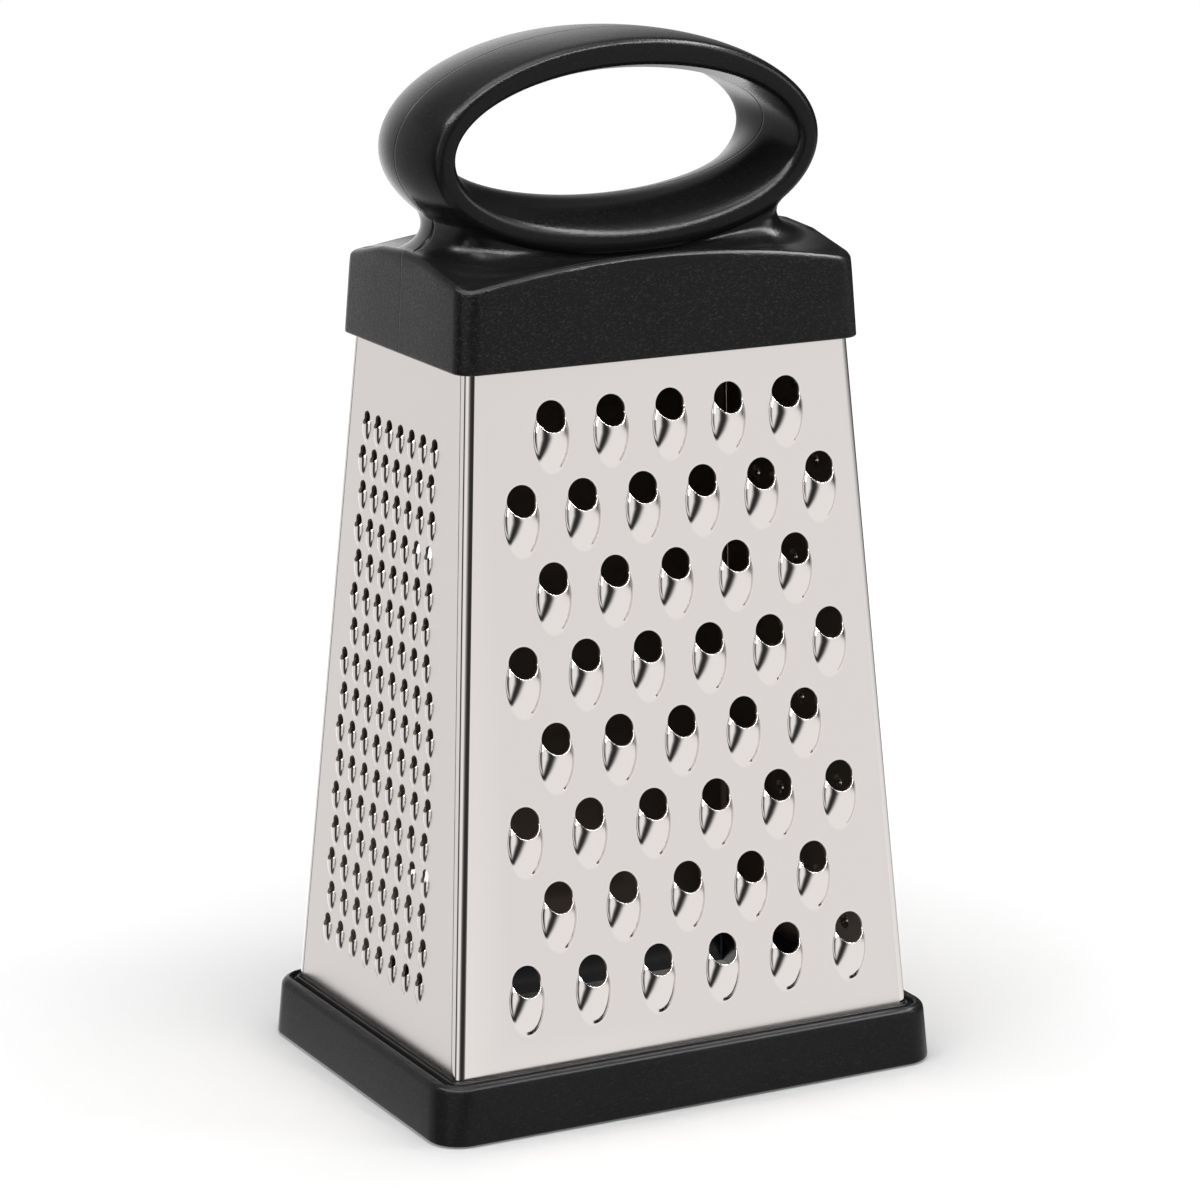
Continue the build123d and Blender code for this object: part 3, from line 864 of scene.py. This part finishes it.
# Height, and how far outside the steel's surface
groove = ((13.0, 2.7), (12.9, 2.4), (12.6, 2.25), (11.8, 2.15), (11.6, 2.0), (11.6, 1.1), (11.8, 0.95),
          (12.7, 0.9), (12.85, 0.8), (12.85, 0.45), (12.7, 0.3), (12.0, slide_gap))
channel = ((steel_foot, slide_gap), (steel_foot, -inner_wall), (12.7, -inner_wall),
           (base_height, -inner_wall - 0.3), (base_height, -inner_wall - 2.7),
           (12.7, -inner_wall - flange))


def base_outside(z, inset):
    """Size, corner radius and height of a row on the outer wall."""
    drawn_in = base_draft * z / base_height
    return base_half[0] - drawn_in - inset, base_half[1] - drawn_in - inset, base_corner - inset, z


def beside_steel(z, outset):
    """Size, corner radius and height of a row that follows the steel."""
    return half_length(z) + outset, half_depth(z) + outset, fold_radius + max(outset, most_inset), z


quarter = [math.pi / 2 * i / round_steps for i in range(round_steps + 1)]
base_rows = [beside_steel(0.0, -inner_wall - flange)]
base_rows += [base_outside(foot_edge - foot_edge * math.cos(turn), foot_edge * (1 - math.sin(turn)))
              for turn in quarter]
base_rows += [base_outside(base_height - top_edge + top_edge * math.sin(turn),
                           top_edge * (1 - math.cos(turn))) for turn in quarter]
base_rows += [beside_steel(z, outset) for z, outset in groove + channel]
print("base ring has", len(base_rows), "rows")

# %% Base ring
point_gap = 0.001
base_grain = 0.3
side_steps, arc_steps = (24, 16), 6
base_sides = [side_stations([2 * i / steps - 1 for i in range(steps + 1)], arc_steps)
              for steps in side_steps]
base_stations = ring_stations(*base_sides)
base_points = [point for row in base_rows for point in ring_points(base_stations, *row)]
base_body = mesh_object("base_body", base_points, ring_faces(len(base_rows), len(base_stations)),
                        base_plastic)
base_body.data.transform(Matrix.Scale(MM, 4))
weld(base_body.data, point_gap * MM)
for face in base_body.data.polygons:
    face.use_smooth = True
set_attribute(base_body.data, "grain", [base_grain] * len(base_body.data.vertices))
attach(base_body, "root")
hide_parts("base_ring")
print("base ring", len(base_body.data.polygons), "faces")

# %% [markdown]
# The handle is moulded in two halves that meet in the middle plane. Its loop is a deep elliptic
# ring, barrel shaped outside, with a flat band in front between two rounded edges. Below, it flows
# in a concave fillet into the cap's dished crown. Metaballs or a remesh could blend the two, but
# they lose the crisp edges. So the whole is one net of quads: the loop, a skirt from the
# loop to the crown, the bead, the cap's sides and the pocket for the steel.

# %% The loop's net
loop_half = 14.8
loop_reach, loop_rise, loop_centre = 48.7, 24.3, 204.0
hole_reach, hole_rise, hole_centre = 40.2, 13.7, 206.2
edge_round = 1.5
turns = 144
fine_share = 0.08 / loop_half
tie_share = (loop_half - edge_round) / loop_half


def outer_line(angle, share, inset):
    """Point on the loop's outside, which draws in from the middle plane to the front."""
    low = max(-math.sin(angle), 0)
    rise = loop_rise - (1.2 + 1.1 * low**2) * share**2 - inset
    return np.array([(loop_reach - 3.1 * share**2 - inset) * math.cos(angle), share * loop_half,
                     loop_centre + rise * math.sin(angle)])


def hole_line(angle, share, inset):
    """Point in the loop's hole, which opens towards the front."""
    rise = hole_rise + 4.5 * share**2 + inset
    return np.array([(hole_reach + 1.1 * share**2 + inset) * math.cos(angle), share * loop_half,
                     hole_centre - 2.4 * share**2 + rise * math.sin(angle)])


inside_shares = [tie_share * (i / 8) for i in range(-7, 8) if i]
seam_shares = [-5 * fine_share, -fine_share, 0.0, fine_share, 5 * fine_share]
outer_shares = sorted([-tie_share, tie_share] + seam_shares + inside_shares)
edge_steps = 6


def edge_rows(line, side, outwards):
    """Rows of a rounded edge between a side of the loop and its flat band."""
    rows = []
    order = range(1, edge_steps + 1) if outwards else range(edge_steps, 0, -1)
    for i in order:
        turn = math.pi / 2 * i / edge_steps
        depth = side * (loop_half - edge_round + edge_round * math.sin(turn)) / loop_half
        rows.append((line, depth, edge_round * (1 - math.cos(turn))))
    return rows


loop_rows = [(outer_line, share, 0.0) for share in outer_shares]
loop_rows += edge_rows(outer_line, 1, True) + edge_rows(hole_line, 1, False)
loop_rows += [(hole_line, share, 0.0) for share in reversed(outer_shares)]
loop_rows += edge_rows(hole_line, -1, True) + edge_rows(outer_line, -1, False)
loop_net = np.array([[line(2 * math.pi * i / turns, share, inset) for i in range(turns)]
                     for line, share, inset in loop_rows])
print("loop has", len(loop_rows), "rows of", turns)

# %% [markdown]
# Under the loop lies the cap, a shallow box with drafted walls. Its crown is dished: high at the
# middle of each edge and low at the corners. The cap's stations are counted out to match the part
# of the loop's net that the neck hangs from, with the fine rows of the seam in line.

# %% The cap's stations and its crown
left_turn, right_turn = 86, 130
tie_last = len(outer_shares) - 1
cap_foot, cap_side = 162.0, 17.2
cap_top = cap_foot + cap_side
cap_half_foot = (48.4, 30.2)
cap_draft = 1.0
cap_corner = 4.5
crown_rise = 4.8
corner_steps = 6
front_count = right_turn - left_turn
straight_front = np.linspace(-1, 1, front_count - 2 * corner_steps + 1)
side_places = np.array(outer_shares[corner_steps:-corner_steps]) * loop_half
near_seam = 5 * fine_share * loop_half
side_reach = cap_half_foot[1] - cap_corner
stretch = (side_reach - near_seam) / (max(side_places) - near_seam)
side_straight = [p / side_reach if abs(p) <= near_seam * 1.01
                 else math.copysign(near_seam + (abs(p) - near_seam) * stretch, p) / side_reach
                 for p in side_places]
cap_stations = ring_stations(side_stations(straight_front, corner_steps),
                             side_stations(side_straight, corner_steps))
print("cap has", len(cap_stations), "stations")


def cap_line(z, inset):
    """Size and corner radius of the cap's wall at a height."""
    drawn_in = cap_draft * (z - cap_foot) / cap_side
    return cap_half_foot[0] - drawn_in - inset, cap_half_foot[1] - drawn_in - inset, cap_corner - inset


def crown_height(x, y):
    """Height of the dished crown at a place in plan."""
    p = (x / (cap_half_foot[0] - cap_draft)) ** 2
    q = (y / (cap_half_foot[1] - cap_draft)) ** 2
    return cap_top + crown_rise * (p + q - 2 * p * q)


def crown_slope(x, y, direction):
    """How the crown's surface runs from a point in a plan direction, as a unit vector."""
    small = 0.01
    beyond = crown_height(x + small * direction[0], y + small * direction[1])
    run = np.array([direction[0], direction[1], (beyond - crown_height(x, y)) / small])
    return run / np.linalg.norm(run)


# %% [markdown]
# The skirt starts on the loop along a rectangle of the loop's own net, tangent to it, and ends on
# the crown, tangent to that too. In between it follows a Bezier curve at every station, which
# gives the concave neck, and a few rounds of averaging even out its corners.

# %% The neck
neck_line = (44.6, 18.8, 14.5)
skirt_steps = 10
smoothing_rounds = 25
# How far the curve keeps its direction: at the loop as a share of the gap, at the crown in mm
loop_pull, more_at_sides, least_pull, least_gap = 0.28, 0.14, 0.2, 0.3
crown_pull_front, crown_pull_side = 4.8, 3.2
# Rows and turns of the loop's points where the skirt starts, station by station
tie = [(0, left_turn + i) for i in range(front_count)]
tie += [(i, right_turn) for i in range(tie_last)]
tie += [(tie_last, right_turn - i) for i in range(front_count)]
tie += [(tie_last - i, left_turn) for i in range(tie_last)]


def inward_run(row, turn):
    """The way in under the loop from a tie point, and 1 where it runs round it, 0 where across."""
    across = loop_net[min(row + 1, tie_last)][turn] - loop_net[max(row - 1, 0)][turn]
    across = across / np.linalg.norm(across) * (1 if row < tie_last / 2 else -1)
    around = loop_net[row][(turn + 1) % turns] - loop_net[row][(turn - 1) % turns]
    around = around / np.linalg.norm(around) * (1 if turn < (left_turn + right_turn) / 2 else -1)
    from_front = min(row, tie_last - row)
    from_side = min(turn - left_turn, right_turn - turn)
    if from_front == 0:
        weight = 0.5 * max(0, 1 - from_side / corner_steps) ** 2
    else:
        weight = 1 - 0.5 * max(0, 1 - from_front / corner_steps) ** 2
    run = across * (1 - weight) + around * weight
    return run / np.linalg.norm(run), weight


neck_x, neck_y = plan_ring(cap_stations, *neck_line)
skirt_rows = [[] for _ in range(skirt_steps)]
for station, (row, turn) in enumerate(tie):
    start = loop_net[row][turn]
    end = np.array([neck_x[station], neck_y[station], crown_height(neck_x[station], neck_y[station])])
    run, weight = inward_run(row, turn)
    inward = -np.array([cap_stations[station][2], cap_stations[station][3]])
    foot_run = crown_slope(end[0], end[1], inward)
    gap = max(start[2] - end[2], least_gap)
    pull_start = (loop_pull + more_at_sides * weight) * gap + least_pull
    pull_end = crown_pull_front * (1 - weight) + crown_pull_side * weight
    second, third = start + run * pull_start, end + foot_run * pull_end
    for k in range(skirt_steps):
        t = (k + 1) / skirt_steps
        skirt_rows[k].append((1 - t) ** 3 * start + 3 * t * (1 - t) ** 2 * second
                             + 3 * t**2 * (1 - t) * third + t**3 * end)

skirt = np.array([[loop_net[row][turn] for row, turn in tie]] + skirt_rows)
for _ in range(smoothing_rounds):
    along = (np.roll(skirt, 1, axis=1) + np.roll(skirt, -1, axis=1)) / 2
    down = (skirt[:-2] + skirt[2:]) / 2
    skirt[1:-1] = 0.4 * skirt[1:-1] + 0.3 * along[1:-1] + 0.3 * down
print("neck has", skirt_steps, "rows")

# %% [markdown]
# From the neck's foot the rows run over the crown, round the bead at its edge, down the walls,
# round their foot and up into the pocket that the steel enters.

# %% Crown, bead, sides and pocket
bead_round, foot_round = 1.5, 0.6
crown_steps, bead_steps, wall_steps, foot_steps = 5, 6, 8, 4
cap_rows = []
bead_x, bead_y = plan_ring(cap_stations, *cap_line(cap_top, bead_round))
for k in range(1, crown_steps):
    x = neck_x + (bead_x - neck_x) * k / crown_steps
    y = neck_y + (bead_y - neck_y) * k / crown_steps
    cap_rows.append(list(zip(x, y, crown_height(x, y))))
rim_z = crown_height(*plan_ring(cap_stations, *cap_line(cap_top, 0)))
for k in range(bead_steps + 1):
    turn = math.pi / 2 * k / bead_steps
    size = cap_line(cap_top, bead_round * (1 - math.sin(turn)))
    cap_rows.append(ring_points(cap_stations, *size, rim_z - bead_round * (1 - math.cos(turn))))
wall_top = rim_z - bead_round
for k in range(1, wall_steps + 1):
    z = wall_top + (cap_foot + foot_round - wall_top) * k / wall_steps
    cap_rows.append(ring_points(cap_stations, *cap_line(z, 0), z))
for k in range(1, foot_steps + 1):
    turn = math.pi / 2 * k / foot_steps
    size = cap_line(cap_foot, foot_round * (1 - math.cos(turn)))
    cap_rows.append(ring_points(cap_stations, *size, cap_foot + foot_round * (1 - math.sin(turn))))
for z in (cap_foot, steel_top + slide_gap):
    size = (half_length(z) + slide_gap, half_depth(z) + slide_gap, fold_radius)
    cap_rows.append(ring_points(cap_stations, *size, z))
print("cap has", len(cap_rows), "rows")

# %% [markdown]
# The loop's quads that lie under the skirt are left out, so that the whole is one closed skin.

# %% Join the handle
handle_points = [point for row in loop_net for point in row]
handle_faces = []
for face in ring_faces(len(loop_rows), turns):
    row, turn = divmod(face[0], turns)
    if not (row < tie_last and left_turn <= turn < right_turn):
        handle_faces.append(face)
previous = [row * turns + turn for row, turn in tie]
for row in list(skirt[1:]) + cap_rows:
    current = [len(handle_points) + i for i in range(len(row))]
    handle_points += list(row)
    for i in range(len(row)):
        j = (i + 1) % len(row)
        handle_faces.append((previous[i], previous[j], current[j], current[i]))
    previous = current
handle_faces.append(tuple(previous))
whole_handle = mesh_object("whole_handle", handle_points, handle_faces, handle_plastic)
weld(whole_handle.data, point_gap)
print("handle", len(whole_handle.data.polygons), "faces")

# %% [markdown]
# The parting line is a fine groove in the middle plane. A Boolean groove would spoil the net. The
# net has a narrow row of quads on each side of the plane, and the points in the middle are
# pushed in: fully on the loop, less on the cap, and not at all in the pocket.

# %% The parting line
seam_depth = 0.12
seam_on_cap = 0.3
seam_mesh = bmesh.new()
seam_mesh.from_mesh(whole_handle.data)
seam_mesh.normal_update()
shifts = []
for vert in seam_mesh.verts:
    in_pocket = vert.co.z < steel_top + 1 and abs(vert.co.x) < half_length(cap_foot) + 1
    if abs(vert.co.y) < 1e-4 and not in_pocket:
        shifts.append((vert, vert.normal.copy()))
for vert, normal in shifts:
    vert.co -= normal * seam_depth * (1 if vert.co.z > cap_top + crown_rise else seam_on_cap)
seam_mesh.to_mesh(whole_handle.data)
seam_mesh.free()
print("parting line has", len(shifts), "points")

# %% [markdown]
# The two halves are cut from this net, so that they match along the line. Each is closed where it
# was cut, and its points say how much of the leather texture they carry.


# %% The two halves
half_gap = 0.01
wall_grain, smooth_grain = 1.0, 0.25


def half_shell(name, side, node):
    """One half of the handle, cut at the middle plane and closed there."""
    work = bmesh.new()
    work.from_mesh(whole_handle.data)
    cut = bmesh.ops.bisect_plane(work, geom=work.verts[:] + work.edges[:] + work.faces[:],
                                 plane_co=(0, side * half_gap, 0), plane_no=(0, -side, 0),
                                 clear_outer=True)
    rim = [e for e in cut["geom_cut"] if isinstance(e, bmesh.types.BMEdge)]
    bmesh.ops.triangle_fill(work, edges=rim, use_beauty=True, normal=(0, -side, 0))
    bmesh.ops.recalc_face_normals(work, faces=work.faces)
    grain = []
    for vert in work.verts:
        upright = abs(vert.normal.z) < 0.5 and vert.co.z < cap_top + 3
        grain.append(wall_grain if upright else smooth_grain)
    for face in work.faces:
        face.smooth = abs(face.calc_center_median().y) > 2 * half_gap or abs(face.normal.y) < 0.9
    shell = mesh_object(name, [], [], handle_plastic)
    work.to_mesh(shell.data)
    work.free()
    set_attribute(shell.data, "grain", grain)
    shell.data.transform(Matrix.Scale(MM, 4))
    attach(shell, "root")
    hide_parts(node)
    print(name, len(shell.data.polygons), "faces")


half_shell("handle_front", -1, "handle_front_shell")
half_shell("handle_rear", 1, "handle_rear_shell")
bpy.data.objects.remove(whole_handle)

# %% [markdown]
# The clamp's tray and its screws sit inside the top, where hardly anything is seen of them. They
# keep their CAD meshes, which have the right shape, and only get their finishes.

# %% Finishes of the carried-over pieces
finishes = {"clamp_insert": insert_plastic, "clamp_screws": steel}
for node, finish in finishes.items():
    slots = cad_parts[node].data.materials
    slots.clear()
    slots.append(finish)
    print(node, "is finished in", finish.name)

# %% [markdown]
# The grater stands on pale paper, as in a small studio. More light would bleach the paper, but
# the steel too. So the paper glows for the camera alone, and less near the object: a painted
# shadow round its foot, which deepens its real one. It is a hair under the base, so that the two
# don't share a plane.

# %% Floor
floor_tint = 0.5
floor_sides = 64
floor_drop = -0.0002
floor_rings = (0.15, 0.4, 0.8, 1.5)
floor_points = [(0, 0, floor_drop)]
angles = [math.tau * i / floor_sides for i in range(floor_sides)]
for radius in floor_rings:
    floor_points += [(radius * math.cos(a), radius * math.sin(a), floor_drop) for a in angles]
floor_faces = [(0, 1 + i, 1 + (i + 1) % floor_sides) for i in range(floor_sides)]
for k in range(len(floor_rings) - 1):
    near, far = 1 + k * floor_sides, 1 + (k + 1) * floor_sides
    for i in range(floor_sides):
        j = (i + 1) % floor_sides
        floor_faces.append((near + i, far + i, far + j, near + j))
floor_material, floor_start, floor_shader = new_material("floor_paper")
seen = floor_start.node("ShaderNodeLightPath", out="Is Camera Ray")
through = floor_start.node("ShaderNodeLightPath", out="Is Transmission Ray")
spot = floor_start.node("ShaderNodeTexCoord", out="Object")
away = spot.node("ShaderNodeVectorMath", {"operation": "LENGTH"}, {0: spot}, "Value")
# The glow falls off towards the object: a painted shadow round its foot.
glow_with_painted_shadow = (seen + through) * (0.70 - 0.90 * floor_start.math("EXPONENT", -1 * away / 0.14))
floor_shader.inputs["Base Color"].default_value = (floor_tint, floor_tint, floor_tint, 1)
floor_shader.inputs["Roughness"].default_value = 0.9
floor_shader.inputs["Specular IOR Level"].default_value = 0.0
floor_shader.inputs["Emission Strength"].default_value = 1.0
feed(glow_with_painted_shadow, floor_shader, "Emission Color")
floor = mesh_object("floor", floor_points, floor_faces, floor_material)
floor.visible_glossy = False
print("floor has", len(floor_faces), "faces")

# %% [markdown]
# Steel shows what stands round it, so the studio is drawn in the world for glossy rays: bright
# cards in front and behind, a dark streak in the front one, a bright strip above and a pale
# floor. Real cards would do the same, but they'd be in the way of the camera in other views.
# Bearings are in degrees, 0 in front and 90 on the left, and lifts are degrees above the horizon.

# %% Directions in the world
fill_strength = 0.55
world = bpy.data.worlds.new("studio")
world.use_nodes = True
bpy.context.scene.world = world
sky = Plug(world.node_tree)
backdrop = world.node_tree.nodes["Background"]
backdrop.inputs["Color"].default_value = (1, 1, 1, 1)
sky_seen = sky.node("ShaderNodeLightPath", out="Is Camera Ray")
sky_mirrored = sky.node("ShaderNodeLightPath", out="Is Glossy Ray")
sky_through = sky.node("ShaderNodeLightPath", out="Is Transmission Ray")
heading = sky.node("ShaderNodeTexCoord", out="Generated")
east, north, height = (sky.node("ShaderNodeSeparateXYZ", None, {0: heading}, k) for k in range(3))
bearing = sky.math("ARCTAN2", -1 * east, -1 * north) * (180 / math.pi)
lift = sky.math("ARCSINE", height) * (180 / math.pi)


def edge(value, place, soft):
    """0 below the place, 1 above it, with a soft step between."""
    return 1 / (1 + sky.math("EXPONENT", (place - value) / soft))


def card(low, high, level):
    """A bright vertical card in the reflections, between two bearings."""
    return level * edge(bearing, low, 2.5) * (1 - edge(bearing, high, 2.5))


# %% Cards, streak and strip
darkest, streak_depth, strip_level = 0.022, 0.99, 39.0
below = sky.math("MAXIMUM", -1 * lift - 3, 0.0)
front_card = edge(bearing + 4 * below, -66.0, 7.0) * (1 - edge(bearing, 70.0, 3.0))
cards = front_card + card(113.0, 300.0, 0.88) + card(168.0, 300.0, 0.5) + card(-300.0, -152.0, 1.4)
streak = (bearing - 6 - below * (1.164 + 0.021 * below)) / 20
streak_dark = streak_depth * sky.math("EXPONENT", -1 * streak * streak * streak * streak)
bright_floor = edge(-1 * lift, 46.0, 4.0)
side_light = cards + bright_floor - cards * bright_floor
strip = (lift - 50) / 4.5
strip_light = strip_level * sky.math("EXPONENT", -1 * strip * strip) * card(-110.0, 120.0, 1.0)
studio = darkest + side_light * (1 - streak_dark) * (1 - edge(lift, 30.0, 5.0)) + strip_light
studio = studio + 0.5 * edge(lift, 40.0, 5.0) + 3.5 * edge(lift, 64.0, 4.0)
direct = sky_seen + sky_through
sky_level = fill_strength * (1 - direct - sky_mirrored) + direct + sky_mirrored * studio
feed(sky_level, backdrop, "Strength")
print("world has", len(world.node_tree.nodes), "nodes")

# %% [markdown]
# Three soft boxes, above and at both sides, show the form of the black plastic and cast a soft
# shadow. They only add to the world's plain fill, so that colours render about as written.


# %% Lamps
def soft_box(name, place, target, width, height, power):
    """A rectangular lamp in metres and watts, aimed at a point."""
    lamp = bpy.data.lights.new(name, "AREA")
    lamp.shape = "RECTANGLE"
    lamp.size, lamp.size_y = width, height
    lamp.energy = power
    holder = bpy.data.objects.new(name, lamp)
    bpy.context.collection.objects.link(holder)
    holder.location = place
    holder.rotation_euler = (Vector(target) - Vector(place)).to_track_quat("-Z", "Y").to_euler()
    print(name, power, "W")


soft_box("top_box", (-0.15, -0.15, 0.95), (0, 0, 0.1), 0.6, 0.5, 6.0)
soft_box("left_box", (-0.9, -0.35, 0.55), (0, 0, 0.12), 0.3, 0.6, 2.0)
soft_box("right_box", (0.8, -0.5, 0.6), (0, 0, 0.12), 0.3, 0.6, 3.5)
